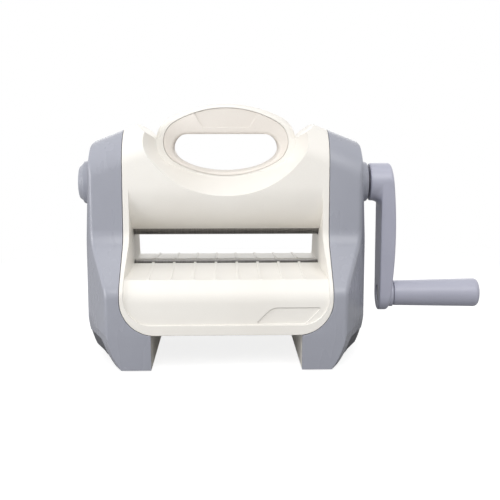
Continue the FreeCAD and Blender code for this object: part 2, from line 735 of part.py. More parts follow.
def add_fixings(shell, rear):
    """Screw bosses, side pads and roller holes of a front shell, or of a rear one after mirroring."""
    gap = PARTING_GAP / 2
    for x, z in shell_places():
        reach = LOWER_HALF_DEPTH if z < LIP_Z else UPPER_HALF_DEPTH
        boss = rod_y(SHELL_BOSS_R, -reach + SHELL_WALL, -gap, x, z)
        shell = shell.fuse(boss)
    for y, z in (SHELL_PAD_UPPER, SHELL_PAD_LOWER):
        for x0, x1 in ((SEAM_X - SHELL_WALL, PLATE_INNER_X), (-PLATE_INNER_X, SHELL_WALL - SEAM_X)):
            shell = shell.fuse(rod_x(SHELL_PAD_R, x0, x1, -y, z))
        for x0, x1 in ((SEAM_X - 2 * SHELL_WALL, SEAM_X), (-SEAM_X, 2 * SHELL_WALL - SEAM_X)):
            shell = shell.fuse(rod_x(SHELL_PAD_R, x0, x1, -y, z))
    for z in (LOWER_AXIS_Z, UPPER_AXIS_Z):
        shell = shell.cut(rod_x(ROLLER_R + ROLLER_WALL_GAP, -FAR, FAR, 0, z))
    clip_room = SHAFT_R + CLIP_WALL + SHAFT_END_ROOM
    shell = shell.cut(rod_x(clip_room, SEAM_X - 2 * SHELL_WALL, FAR, 0, CRANK_Z))
    for y, z in (SHELL_PAD_UPPER, SHELL_PAD_LOWER):
        deep = PLATE_INNER_X - PAD_SCREW_BITE - SCREW_FIT
        for x0, x1 in ((deep, FAR), (-FAR, -deep)):
            shell = shell.cut(rod_x(SCREW_R + SCREW_FIT, x0, x1, -y, z))
    for x, z in shell_places():
        reach = LOWER_HALF_DEPTH if z < LIP_Z else UPPER_HALF_DEPTH
        if rear:
            shell = shell.cut(rod_y(SCREW_R + SCREW_HOLE_FIT, -FAR, 0, x, z))
            shell = shell.cut(rod_y(SCREW_HEAD_R + SCREW_HOLE_FIT, -FAR, -reach + SHELL_SCREW_SINK, x, z))
        else:
            shell = shell.cut(rod_y(SCREW_R + SCREW_FIT, -SHELL_SCREW_BITE - SCREW_END_ROOM, 0, x, z))
    return shell.removeSplitter()


def shell_screw_set():
    """Long screws from the rear shell into the front one."""
    screws = []
    for x, z in shell_places():
        reach = LOWER_HALF_DEPTH if z < LIP_Z else UPPER_HALF_DEPTH
        seat = reach - SHELL_SCREW_SINK
        head = rod_y(SCREW_HEAD_R, seat, seat + SCREW_HEAD, x, z)
        shank = rod_y(SCREW_R, -SHELL_SCREW_BITE, seat, x, z)
        screw = head.fuse(shank).removeSplitter()
        bottom = seat + SCREW_HEAD - CROSS_DEPTH
        for half_x, half_z in ((CROSS_HALF, CROSS_SLOT), (CROSS_SLOT, CROSS_HALF)):
            screw = screw.cut(box(x - half_x, x + half_x, bottom, FAR, z - half_z, z + half_z))
        screws.append(screw)
    return Part.makeCompound(screws)


def x_screw(radius, head_radius, head, x0, length, y, z, side):
    """Screw along X with its head at x0 and its shank running inwards, for the right side."""
    screw = rod_x(head_radius, x0, x0 + head, y, z).fuse(rod_x(radius, x0 - length, x0, y, z))
    key_hole = rod_x(radius * SOCKET_SHARE, x0 + HEAD_FLOOR, FAR, y, z)
    screw = screw.removeSplitter().cut(key_hole)
    return screw if side > 0 else mirror_x(screw)


def liner_half():
    """Front half of the smooth lining of the carry handle."""
    front = -RING_HALF_DEPTH + LINER_RECESS
    body = seat_rod(LINER_FIT, front, -PARTING_GAP / 2)
    body = body.cut(prism(opening_wire(0), -FAR, FAR, Y))
    face_edges = []
    for edge in body.Edges:
        bounds = edge.BoundBox
        if abs(bounds.YMin - front) < 0.001 and abs(bounds.YMax - front) < 0.001:
            face_edges.append(edge)
    hand = [e for e in face_edges if abs(e.BoundBox.ZMax - OPENING_WIDE_Z - OPENING_CORNER) < 0.001]
    body = body.makeFillet(LINER_ROUND, hand)
    high = SEAT_Z + SEAT_HALF_Z - LINER_FIT - 0.001
    rim = [e for e in body.Edges if e.BoundBox.YMax - front < 0.001 and e.BoundBox.ZMax > high]
    body = body.makeFillet(LINER_RIM_ROUND, rim)
    top_z = SEAT_Z + SEAT_HALF_Z + BELOW
    top_half = PLAQUE_LOW_HALF + (top_z - PLAQUE_LOW_Z) * PLAQUE_FLARE
    points = [
        (-PLAQUE_LOW_HALF, PLAQUE_LOW_Z, PLAQUE_ROUND),
        (PLAQUE_LOW_HALF, PLAQUE_LOW_Z, PLAQUE_ROUND),
        (top_half, top_z),
        (-top_half, top_z),
    ]
    return body.cut(prism(rounded_wire(points, "xz"), -FAR, front + PLAQUE_DEPTH, Y))


def arch_block(fit):
    """Space of the arch between the feet of the right cover, on its outer side."""
    half = ARCH_HALF - fit
    top = ARCH_Z - fit
    corner = ARCH_ROUND - fit
    points = [(-half, -BELOW), (-half, top, corner), (half, top, corner), (half, -BELOW)]
    return prism(rounded_wire(points, "yz"), SEAM_X, FAR, X)


def right_cover_blank(outer, inner):
    """Right side cover as a wall of even thickness, open towards the shells."""
    wall = tapered(outer.makeFillet(BEVEL_EDGE_ROUND, bevel_edges(outer)), 0)
    hollow = tapered(inner, COVER_WALL)
    region = box(LEG_INNER_X, FAR, -FAR, FAR, COVER_BOTTOM, FAR)
    wall = wall.common(region).cut(tongue(SEAM_GAP, FAR))
    wall = wall.cut(hollow)
    return wall.cut(arch_block(0))


def base_screw_places():
    """X and Y of the base screws of the right cover."""
    y = LOWER_HALF_DEPTH - FOOT_SETBACK - COVER_WALL - BASE_SCREW_WALL
    return [(LEG_INNER_X + BASE_SCREW_IN, -y), (LEG_INNER_X + BASE_SCREW_IN, y)]


def post_places():
    return front_and_rear(*POST_UPPER) + front_and_rear(*POST_LOWER)


def finish_cover(blank, outer_solid):
    """Adds posts for the cover screws and bosses for the base screws to the right cover."""
    cover = blank
    for y, z in post_places():
        post = rod_x(POST_R, PLATE_OUTER_X, HALF_WIDTH, y, z).common(outer_solid)
        cover = cover.fuse(post)
    boss_top = SHELL_BOTTOM_Z - SEAM_GAP - SCREW_END_ROOM
    for x, y in base_screw_places():
        boss = rod_z(BASE_BOSS_R, BASE_TOP_Z, boss_top, x, y).common(outer_solid)
        cover = cover.fuse(boss)
    post_end = PLATE_OUTER_X + COVER_SCREW_BITE + SCREW_END_ROOM
    for y, z in post_places():
        cover = cover.cut(rod_x(SCREW_R + SCREW_FIT, 0, post_end, y, z))
    boss_end = BASE_TOP_Z + BASE_SCREW_BITE + SCREW_END_ROOM
    for x, y in base_screw_places():
        cover = cover.cut(rod_z(SCREW_R + SCREW_FIT, 0, boss_end, x, y))
    return cover.removeSplitter()


def boss_solid(radius, top_radius):
    """Round boss on the outside of a right cover, around the crank axis."""
    boss = Part.makeCone(radius, top_radius, BOSS_X - BOSS_START_X, Vector(BOSS_START_X, 0, CRANK_Z), X)
    rim = [e for e in boss.Edges if abs(e.CenterOfMass.x - BOSS_X) < 0.001]
    return boss.makeFillet(BOSS_ROUND, rim)


def side_plate():
    """Right steel side plate with its holes."""
    points = [
        (-PLATE_FOOT_HALF, BASE_TOP_Z, PLATE_CORNER_ROUND),
        (-PLATE_LOWER_HALF, PLATE_HIP_Z, PLATE_CORNER_ROUND),
        (-PLATE_LOWER_HALF, PLATE_KNEE_Z, PLATE_CORNER_ROUND),
        (-PLATE_UPPER_HALF, PLATE_WAIST_Z, PLATE_CORNER_ROUND),
        (-PLATE_UPPER_HALF, PLATE_TOP_Z, PLATE_CORNER_ROUND),
    ]
    points = points + [(-p[0],) + p[1:] for p in reversed(points)]
    plate = prism(rounded_wire(points, "yz"), PLATE_INNER_X, PLATE_OUTER_X, X)
    bush_r = JOURNAL_R + RUN_FIT + BUSH_WALL + PRESS_FIT
    for z in (LOWER_AXIS_Z, UPPER_AXIS_Z):
        plate = plate.cut(rod_x(bush_r, 0, FAR, 0, z))
    for y, z in front_and_rear(*ROD_UPPER) + front_and_rear(*ROD_LOWER):
        plate = plate.cut(rod_x(ROD_SCREW_R + SCREW_FIT, 0, FAR, y, z))
    for y, z in front_and_rear(*SHELL_PAD_UPPER) + front_and_rear(*SHELL_PAD_LOWER) + post_places():
        plate = plate.cut(rod_x(SCREW_R + SCREW_FIT, 0, FAR, y, z))
    return plate


def base_block():
    """Dark base of the right cover: a floor plate and a skirt that fills the arch."""
    floor_region = box(LEG_INNER_X + PANEL_THICK + BASE_FIT, FAR, -FAR, FAR, BASE_Z, BASE_TOP_Z)
    inset = COVER_WALL + BASE_FIT
    within_walls = tapered(half_envelope(inset), inset)
    floor = within_walls.common(floor_region)
    skirt = tapered(half_envelope(BASE_RECESS), BASE_RECESS)
    inset = COVER_WALL + BASE_THICK
    skirt = skirt.cut(tapered(half_envelope(inset), inset)).common(arch_block(BASE_FIT))
    skirt = skirt.common(box(0, FAR, -FAR, FAR, BASE_Z, FAR))
    skirt = skirt.cut(box(0, FAR, -FAR, FAR, 0, SKIRT_Z).cut(within_walls))
    base = floor.fuse(skirt)
    for x, y in base_screw_places():
        base = base.cut(rod_z(SCREW_R + SCREW_HOLE_FIT, 0, FAR, x, y))
        base = base.cut(rod_z(SCREW_HEAD_R + SCREW_HOLE_FIT, 0, BASE_Z + BASE_HEAD_SINK + BASE_HEAD, x, y))
    for x, y in pad_places():
        half = PAD_SIZE / 2 + BASE_FIT
        base = base.cut(box(x - half, x + half, y - half, y + half, 0, BASE_Z + PAD_SINK))
    return base.removeSplitter()


def pad_places():
    """X and Y of the rubber pads of the right base."""
    x = LEG_INNER_X + PANEL_THICK + 2 * BASE_FIT + PAD_INSET + PAD_SIZE / 2
    return [(x, -PAD_Y), (x, PAD_Y)]


def pads():
    """Four rubber pads let into the two bases."""
    half = PAD_SIZE / 2
    top = BASE_Z + PAD_SINK
    found = []
    for x, y in pad_places():
        pad = box(x - half, x + half, y - half, y + half, 0, top)
        edges = [e for e in pad.Edges if abs(e.Vertexes[0].Z - e.Vertexes[1].Z) > top / 2]
        pad = pad.makeFillet(PAD_ROUND, edges)
        found.append(pad)
        found.append(mirror_x(pad))
    return Part.makeCompound(found)


def base_screws():
    found = []
    for x, y in base_screw_places():
        low = BASE_Z + BASE_HEAD_SINK
        head = rod_z(SCREW_HEAD_R, low, low + BASE_HEAD, x, y)
        shank = rod_z(SCREW_R, low + BASE_HEAD, BASE_TOP_Z + BASE_SCREW_BITE, x, y)
        screw = head.fuse(shank).removeSplitter()
        found.append(screw)
        found.append(mirror_x(screw))
    return Part.makeCompound(found)


def leg_panel():
    """Light panel that closes the inner side of the right cover's legs."""
    panel = box(LEG_INNER_X, LEG_INNER_X + PANEL_THICK, -FAR, FAR, COVER_BOTTOM, SHELL_BOTTOM_Z - SEAM_GAP)
    return panel.common(half_envelope(COVER_WALL + BASE_FIT))


def involute(angle):
    return math.tan(angle) - angle


def gear_wire(teeth, first_deg):
    """Outline of a spur gear in the YZ plane, one tooth centred at first_deg from +Y."""
    pitch = MODULE * teeth / 2
    base = pitch * math.cos(math.radians(PRESSURE_DEG))
    tip = pitch + ADDENDUM * MODULE
    root = pitch - DEDENDUM * MODULE
    thick = math.pi * MODULE / 2 - BACKLASH
    at_pitch = thick / (2 * pitch) + involute(math.radians(PRESSURE_DEG))

    def half_angle(radius):
        return at_pitch - involute(math.acos(min(1, base / radius)))

    def point(radius, angle):
        return Vector(0, radius * math.cos(angle), radius * math.sin(angle))

    low = max(base, root)
    step = 2 * math.pi / teeth
    edges = []
    for i in range(teeth):
        centre = math.radians(first_deg) + i * step
        foot = half_angle(low)
        middle = (low + tip) / 2
        start = point(root, centre - foot)
        rise = [point(r, centre - half_angle(r)) for r in (low, middle, tip)]
        fall = [point(r, centre + half_angle(r)) for r in (tip, middle, low)]
        end = point(root, centre + foot)
        if low > root:
            edges.append(Part.LineSegment(start, rise[0]).toShape())
        edges.append(Part.Arc(*rise).toShape())
        edges.append(Part.Arc(rise[2], point(tip, centre), fall[0]).toShape())
        edges.append(Part.Arc(*fall).toShape())
        if low > root:
            edges.append(Part.LineSegment(fall[2], end).toShape())
        following = point(root, centre + step - foot)
        edges.append(Part.Arc(end, point(root, centre + step / 2), following).toShape())
    return Part.Wire(edges)


def gear(teeth, first_deg, x0, x1, z, bore):
    """Spur gear on an axis along X at height z, with a plain bore."""
    wire = gear_wire(teeth, first_deg)
    body = prism(wire, x0, x1, X)
    body.translate(Vector(0, 0, z))
    return body.cut(rod_x(bore, -FAR, FAR, 0, z))


def key_box(z, x0, x1, grow):
    """Square key on top of a roller journal."""
    half = KEY_WIDTH / 2 + grow
    low = z + JOURNAL_R - KEY_HEIGHT / 2 - grow
    high = z + JOURNAL_R + KEY_HEIGHT / 2 + grow
    return box(x0, x1, -half, half, low, high)


def roller_gear(first_deg, z):
    """Roller gear with a recessed outer face and a keyway."""
    body = gear(ROLLER_TEETH, first_deg, GEAR_X, GEAR_END_X, z, JOURNAL_R + PRESS_FIT)
    body = body.cut(key_box(z, 0, FAR, KEY_FIT))
    rim = MODULE * ROLLER_TEETH / 2 - GEAR_RIM
    recess = rod_x(rim, GEAR_END_X - GEAR_RECESS, FAR, 0, z)
    return body.cut(recess.cut(rod_x(JOURNAL_R + GEAR_HUB_WALL, 0, FAR, 0, z)))


def roller(z):
    """Steel pressing roller with journals, keyway and clip grooves."""
    half = PLATE_INNER_X - BUSH_FLANGE_THICK - ROLLER_END_GAP
    body = rod_x(ROLLER_R, -half, half, 0, z)
    rims = [e for e in body.Edges if abs(abs(e.CenterOfMass.x) - half) < 0.001]
    body = body.makeFillet(ROLLER_EDGE_ROUND, rims)
    tail = CLIP_X + CLIP_THICK + JOURNAL_TAIL
    body = body.fuse(rod_x(JOURNAL_R, CLIP_LEFT_X - JOURNAL_TAIL, tail, 0, z)).removeSplitter()
    body = body.cut(key_box(z, GEAR_X, GEAR_END_X, KEY_FIT))
    for x in (CLIP_X, CLIP_LEFT_X):
        body = body.cut(clip_ring(z, x, JOURNAL_R, CLIP_FIT, 2 * JOURNAL_R))
    return body


def clip_ring(z, x, shaft, fit, outer):
    """Ring shaped space of a retaining clip groove."""
    ring_body = rod_x(outer, x - fit, x + CLIP_THICK + fit, 0, z)
    return ring_body.cut(rod_x(shaft - CLIP_DEPTH, -FAR, FAR, 0, z))


def clip(z, x, shaft):
    """Open retaining clip sitting in its groove, with the gap below."""
    body = rod_x(shaft + CLIP_WALL, x, x + CLIP_THICK, 0, z)
    body = body.cut(rod_x(shaft - CLIP_DEPTH + CLIP_FIT, -FAR, FAR, 0, z))
    gap = shaft * CLIP_OPENING
    return body.cut(box(-FAR, FAR, -gap, gap, z - FAR, z))


def bush(z, shaft):
    """Flanged bush in the right side plate."""
    hole = shaft + RUN_FIT
    body = rod_x(hole + BUSH_WALL, PLATE_INNER_X - BUSH_FLANGE_THICK, PLATE_OUTER_X + BUSH_STANDOFF, 0, z)
    flange = rod_x(hole + BUSH_WALL + BUSH_FLANGE, PLATE_INNER_X - BUSH_FLANGE_THICK, PLATE_INNER_X, 0, z)
    return body.fuse(flange).removeSplitter().cut(rod_x(hole, 0, FAR, 0, z))


def shaft_body():
    """Crank shaft: round through both bushes, two flats in the crank hub."""
    end = HUB_X + SOCKET_DEPTH - SHAFT_END_GAP
    body = rod_x(SHAFT_R, SHAFT_CLIP_X - JOURNAL_TAIL, end, 0, CRANK_Z)
    flat = SHAFT_R - SOCKET_FLAT
    for side in (-1, 1):
        low, high = sorted((side * flat, side * 2 * SHAFT_R))
        body = body.cut(box(HUB_X, FAR, low, high, CRANK_Z - FAR, CRANK_Z + FAR))
    body = body.cut(clip_ring(CRANK_Z, SHAFT_CLIP_X, SHAFT_R, CLIP_FIT, 2 * SHAFT_R))
    body = body.cut(rod_z(SCREW_R + PRESS_FIT, CRANK_Z - FAR, CRANK_Z + FAR, PIN_X, 0))
    return body.cut(rod_x(ROD_SCREW_R + SCREW_FIT, end - SHAFT_TAP, FAR, 0, CRANK_Z))


def pinion():
    """Crank pinion with a collar that takes the cross pin."""
    first = 270.0 + 180.0 / PINION_TEETH
    body = gear(PINION_TEETH, first, PINION_X0, PINION_X1, CRANK_Z, SHAFT_R + PRESS_FIT)
    collar = rod_x(SHAFT_R + PINION_COLLAR_WALL, PINION_X1, PINION_X1 + PINION_COLLAR, 0, CRANK_Z)
    collar = collar.cut(rod_x(SHAFT_R + PRESS_FIT, 0, FAR, 0, CRANK_Z))
    body = body.fuse(collar).removeSplitter()
    return body.cut(rod_z(SCREW_R + PRESS_FIT, CRANK_Z - FAR, CRANK_Z + FAR, PIN_X, 0))


def outer_bush():
    """Bush of the crank shaft in the right cover's boss."""
    hole = SHAFT_R + RUN_FIT
    body = rod_x(hole + BUSH_WALL, BOSS_START_X, BOSS_X - BUSH_STANDOFF, 0, CRANK_Z)
    flange_x = BOSS_START_X - BUSH_FLANGE_THICK
    flange = rod_x(hole + BUSH_WALL + BUSH_FLANGE, flange_x, BOSS_START_X, 0, CRANK_Z)
    return body.fuse(flange).removeSplitter().cut(rod_x(hole, 0, FAR, 0, CRANK_Z))


def arm_side_face():
    """The arm's outline seen from the side: two rounded ends and straight flanks."""
    lean = math.asin((HUB_R - ARM_END_R) / CRANK_RADIUS)
    top = [Vector(0, s * HUB_R * math.cos(lean), CRANK_Z - HUB_R * math.sin(lean)) for s in (-1, 1)]
    low = [Vector(0, s * ARM_END_R * math.cos(lean), GRIP_Z - ARM_END_R * math.sin(lean)) for s in (-1, 1)]
    edges = [
        Part.Arc(top[0], Vector(0, 0, CRANK_Z + HUB_R), top[1]).toShape(),
        Part.LineSegment(top[1], low[1]).toShape(),
        Part.Arc(low[1], Vector(0, 0, GRIP_Z - ARM_END_R), low[0]).toShape(),
        Part.LineSegment(low[0], top[0]).toShape(),
    ]
    return Part.Face(Part.Wire(edges))


def arm():
    """Crank arm: side outline with a bulged outer face, hub and sockets."""
    blank = arm_side_face()
    blank.translate(Vector(HUB_X, 0, 0))
    blank = blank.extrude(Vector(FAR, 0, 0))
    top_z = CRANK_Z + HUB_R
    low_z = GRIP_Z - ARM_END_R
    bulge_z = (CRANK_Z + GRIP_Z) / 2 + ARM_BULGE_RISE
    top = Vector(HUB_OUTER_X, 0, top_z)
    toe = Vector(ARM_END_X - ARM_TOE_IN, 0, low_z)
    edges = [Part.Arc(top, Vector(ARM_BULGE_X, 0, bulge_z), toe).toShape()]
    inner = [toe, Vector(ARM_INNER_X, 0, low_z), Vector(ARM_INNER_X, 0, top_z), top]
    for a, b in zip(inner, inner[1:]):
        edges.append(Part.LineSegment(a, b).toShape())
    body = blank.common(prism(Part.Wire(edges), -FAR, FAR, Y))
    rims = [e for e in body.Edges if e.BoundBox.XMin > ARM_INNER_X + ARM_OVERLAP]
    body = body.makeFillet(ARM_EDGE_ROUND, rims)
    rims = [e for e in body.Edges if abs(e.BoundBox.XMax - ARM_INNER_X) < 0.001]
    body = body.makeFillet(ARM_INNER_ROUND, rims)
    hub = rod_x(HUB_R, HUB_X, ARM_INNER_X + ARM_OVERLAP, 0, CRANK_Z)
    rim = [e for e in hub.Edges if abs(e.CenterOfMass.x - HUB_X) < 0.001]
    body = body.fuse(hub.makeFillet(HUB_EDGE_ROUND, rim)).removeSplitter()
    crook = []
    for edge in body.Edges:
        bounds = edge.BoundBox
        flat = abs(bounds.XMin - ARM_INNER_X) < 0.001 and abs(bounds.XMax - ARM_INNER_X) < 0.001
        if flat and abs(getattr(edge.Curve, "Radius", 0) - HUB_R) < 0.001:
            crook.append(edge)
    body = body.makeFillet(HUB_FILLET, crook)
    seat = rod_x(ARM_END_SEAT_R, ARM_INNER_X + ARM_OVERLAP, ARM_END_X, 0, GRIP_Z)
    body = body.fuse(seat)
    body = body.cut(rod_x(ARM_END_R, ARM_END_X, FAR, 0, GRIP_Z))
    socket = rod_x(SHAFT_R + SOCKET_FIT, 0, HUB_X + SOCKET_DEPTH, 0, CRANK_Z)
    flat = SHAFT_R - SOCKET_FLAT + SOCKET_FIT
    socket = socket.common(box(0, FAR, -flat, flat, 0, FAR))
    body = body.cut(socket)
    body = body.cut(rod_x(ROD_SCREW_R + SCREW_HOLE_FIT, 0, FAR, 0, CRANK_Z))
    body = body.cut(rod_x(WASHER_R + SCREW_HOLE_FIT, WASHER_X, FAR, 0, CRANK_Z))
    body = body.cut(rod_x(GRIP_BOLT_R + SCREW_FIT, 0, FAR, 0, GRIP_Z))
    pocket = ARM_INNER_X + GRIP_BOLT_HEAD + GRIP_BOLT_SINK
    return body.cut(rod_x(ARM_POCKET_R, 0, pocket, 0, GRIP_Z))


def crank_screw():
    start = WASHER_X + WASHER_THICK
    body = rod_x(ROD_SCREW_HEAD_R, start, start + ROD_SCREW_HEAD, 0, CRANK_Z)
    shank = rod_x(ROD_SCREW_R, HUB_X + SOCKET_DEPTH - CRANK_SCREW_BITE, start, 0, CRANK_Z)
    body = body.fuse(shank).removeSplitter()
    return body.cut(rod_x(ROD_SCREW_R * SOCKET_SHARE, start + HEAD_FLOOR, FAR, 0, CRANK_Z))


def crank_washer():
    body = rod_x(WASHER_R, WASHER_X, WASHER_X + WASHER_THICK, 0, CRANK_Z)
    return body.cut(rod_x(ROD_SCREW_R + SCREW_FIT, 0, FAR, 0, CRANK_Z))


def grip():
    """Tapered grip that turns on its bolt, with a pocket for the nut in its end."""
    body = Part.makeCone(GRIP_SMALL_R, GRIP_LARGE_R, GRIP_LENGTH, Vector(GRIP_X, 0, GRIP_Z), X)
    rim = [e for e in body.Edges if abs(e.CenterOfMass.x - GRIP_END_X) < 0.001]
    body = body.makeFillet(GRIP_END_ROUND, rim)
    rim = [e for e in body.Edges if abs(e.CenterOfMass.x - GRIP_X) < 0.001]
    body = body.makeFillet(GRIP_START_ROUND, rim)
    body = body.cut(rod_x(GRIP_BOLT_R + GRIP_BORE_FIT, 0, FAR, 0, GRIP_Z))
    return body.cut(rod_x(GRIP_POCKET_R, GRIP_END_X - GRIP_POCKET_DEPTH, FAR, 0, GRIP_Z))


def grip_bolt():
    start = ARM_INNER_X + GRIP_BOLT_SINK
    body = rod_x(GRIP_BOLT_HEAD_R, start, start + GRIP_BOLT_HEAD, 0, GRIP_Z)
    end = NUT_X + GRIP_NUT_THICK + GRIP_BOLT_TIP
    body = body.fuse(rod_x(GRIP_BOLT_R, start + GRIP_BOLT_HEAD, end, 0, GRIP_Z)).removeSplitter()
    slot_end = start + HEAD_FLOOR
    return body.cut(box(0, slot_end, -GRIP_BOLT_SLOT, GRIP_BOLT_SLOT, GRIP_Z - FAR, GRIP_Z + FAR))


def grip_nut():
    points = []
    for i in range(6):
        turn = math.radians(60 * i)
        points.append((GRIP_NUT_R * math.cos(turn), GRIP_Z + GRIP_NUT_R * math.sin(turn)))
    body = prism(rounded_wire(points, "yz"), NUT_X, NUT_X + GRIP_NUT_THICK, X)
    return body.cut(rod_x(GRIP_BOLT_R + PRESS_FIT, 0, FAR, 0, GRIP_Z))


def left_cap():
    """Domed cap on the left cover's boss, with a stem in the boss."""
    dome = Part.makeCone(CAP_R, CAP_TOP_R, CAP_HEIGHT, Vector(BOSS_X, 0, CRANK_Z), X)
    rim = [e for e in dome.Edges if abs(e.CenterOfMass.x - BOSS_X - CAP_HEIGHT) < 0.001]
    dome = dome.makeFillet(CAP_ROUND, rim)
    stem = rod_x(CAP_STEM_R, BOSS_X - CAP_STEM, BOSS_X, 0, CRANK_Z)
    return mirror_x(dome.fuse(stem).removeSplitter())


def tie_rods():
    rods = []
    for y, z in front_and_rear(*ROD_UPPER) + front_and_rear(*ROD_LOWER):
        rod = rod_x(ROD_R, -PLATE_INNER_X, PLATE_INNER_X, y, z)
        tapped = PLATE_INNER_X - ROD_SCREW_BITE - SCREW_END_ROOM
        for x0, x1 in ((tapped, FAR), (-FAR, -tapped)):
            rod = rod.cut(rod_x(ROD_SCREW_R + SCREW_FIT, x0, x1, y, z))
        rods.append(rod)
    return Part.makeCompound(rods)


def screws_through_plates(places, radius, head_radius, head, length):
    """Screws with heads on the outer faces of both side plates."""
    found = []
    for y, z in places:
        for side in (1, -1):
            found.append(x_screw(radius, head_radius, head, PLATE_OUTER_X, length, y, z, side))
    return Part.makeCompound(found)


def cover_screws():
    """Screws from inside the side plates into the posts of the covers."""
    found = []
    for y, z in post_places():
        head = rod_x(SCREW_HEAD_R, PLATE_INNER_X - SCREW_HEAD, PLATE_INNER_X, y, z)
        shank = rod_x(SCREW_R, PLATE_INNER_X, PLATE_OUTER_X + COVER_SCREW_BITE, y, z)
        screw = head.fuse(shank).removeSplitter()
        screw = screw.cut(rod_x(SCREW_R * SOCKET_SHARE, 0, PLATE_INNER_X - HEAD_FLOOR, y, z))
        found.append(screw)
        found.append(mirror_x(screw))
    return Part.makeCompound(found)


def rod_space(shell):
    """A front shell with room for the tie rods."""
    for y, z in (ROD_UPPER, ROD_LOWER):
        shell = shell.cut(rod_x(ROD_R + SCREW_HOLE_FIT, -FAR, FAR, -y, z))
    return shell


def build():
    os.makedirs("parts", exist_ok=True)
    outer = half_envelope(0)
    whole_outer = whole_envelope(0)
    whole_inner = whole_envelope(SHELL_WALL)
    blank = front_shell_solid(whole_outer, whole_inner)
    ribbed = blank.fuse(ribs()).removeSplitter()
    front = rod_space(add_fixings(ribbed.cut(badge_cut()), False))
    rear = mirror_y(rod_space(add_fixings(ribbed, True)))
    save("front_shell", front)
    save("rear_shell", rear)
    liner = liner_half()
    save("handle_liner_front", liner)
    save("handle_liner_rear", mirror_y(liner))

    cover_inner = half_envelope(COVER_WALL)
    cover_blank = right_cover_blank(outer, cover_inner)
    cover = finish_cover(cover_blank, tapered(outer, 0))
    bush_hole = rod_x(SHAFT_R + RUN_FIT + BUSH_WALL + PRESS_FIT, PLATE_OUTER_X, FAR, 0, CRANK_Z)
    right = cover.fuse(boss_solid(BOSS_R, BOSS_TOP_R)).cut(bush_hole).removeSplitter()
    save("right_cover", right)
    cap_hole = rod_x(CAP_STEM_R + SCREW_FIT, BOSS_X - CAP_STEM - CLIP_GAP, FAR, 0, CRANK_Z)
    left = cover.fuse(boss_solid(CAP_BOSS_R, CAP_BOSS_TOP_R)).cut(cap_hole).removeSplitter()
    save("left_cover", mirror_x(left))
    save("left_cap", left_cap())

    base = base_block()
    save("right_base", base)
    save("left_base", mirror_x(base))
    panel = leg_panel()
    save("right_leg_panel", panel)
    save("left_leg_panel", mirror_x(panel))
    save("foot_pads", pads())
    save("base_screws", base_screws())

    plate = side_plate()
    shaft_hole = rod_x(SHAFT_R + RUN_FIT + BUSH_WALL + PRESS_FIT, 0, FAR, 0, CRANK_Z)
    save("right_side_plate", plate.cut(shaft_hole))
    save("left_side_plate", mirror_x(plate))
    save("tie_rods", tie_rods())
    rods = front_and_rear(*ROD_UPPER) + front_and_rear(*ROD_LOWER)
    length = PLATE_THICK + ROD_SCREW_BITE
    rod_screws = screws_through_plates(rods, ROD_SCREW_R, ROD_SCREW_HEAD_R, ROD_SCREW_HEAD, length)
    save("tie_rod_screws", rod_screws)
    side_pads = front_and_rear(*SHELL_PAD_UPPER) + front_and_rear(*SHELL_PAD_LOWER)
    length = PLATE_THICK + PAD_SCREW_BITE
    save("shell_side_screws", screws_through_plates(side_pads, SCREW_R, SCREW_HEAD_R, SCREW_HEAD, length))
    save("cover_screws", cover_screws())
    save("shell_screws", shell_screw_set())

    half_tooth = 180.0 / ROLLER_TEETH
    for name, z, first in (("upper", UPPER_AXIS_Z, 90.0), ("lower", LOWER_AXIS_Z, 90.0 + half_tooth)):
        save(name + "_roller", roller(z))
        save(name + "_right_bush", bush(z, JOURNAL_R))
        save(name + "_left_bush", mirror_x(bush(z, JOURNAL_R)))
        save(name + "_roller_gear", roller_gear(first, z))
        save(name + "_gear_key", key_box(z, GEAR_X + KEY_END_GAP, GEAR_END_X - KEY_END_GAP, 0))
        clips = [clip(z, CLIP_X, JOURNAL_R), clip(z, CLIP_LEFT_X, JOURNAL_R)]
        save(name + "_roller_clips", Part.makeCompound(clips))

    save("crank_shaft", shaft_body())
    save("crank_pinion", pinion())
    pin_half = SHAFT_R + PINION_COLLAR_WALL - PIN_SHORT
    save("pinion_pin", rod_z(SCREW_R, CRANK_Z - pin_half, CRANK_Z + pin_half, PIN_X, 0))
    save("inner_shaft_bush", bush(CRANK_Z, SHAFT_R))
    save("outer_shaft_bush", outer_bush())
    save("shaft_clip", clip(CRANK_Z, SHAFT_CLIP_X, SHAFT_R))
    save("crank_arm", arm())
    save("crank_screw", crank_screw())
    save("crank_washer", crank_washer())
    save("crank_grip", grip())
    save("grip_bolt", grip_bolt())
    save("grip_nut", grip_nut())


build()
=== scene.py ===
# %% [markdown]
# # Dressing a hand cranked die cutting machine
#
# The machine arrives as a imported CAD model: 44 separate parts, at their real size, in metres.
# This lesson never moves or reshapes those parts. It gives each one the finish of the real thing,
# sets up a small white studio around it, and looks at it from where a product photographer stood.

# %% load the machine
import json
import math

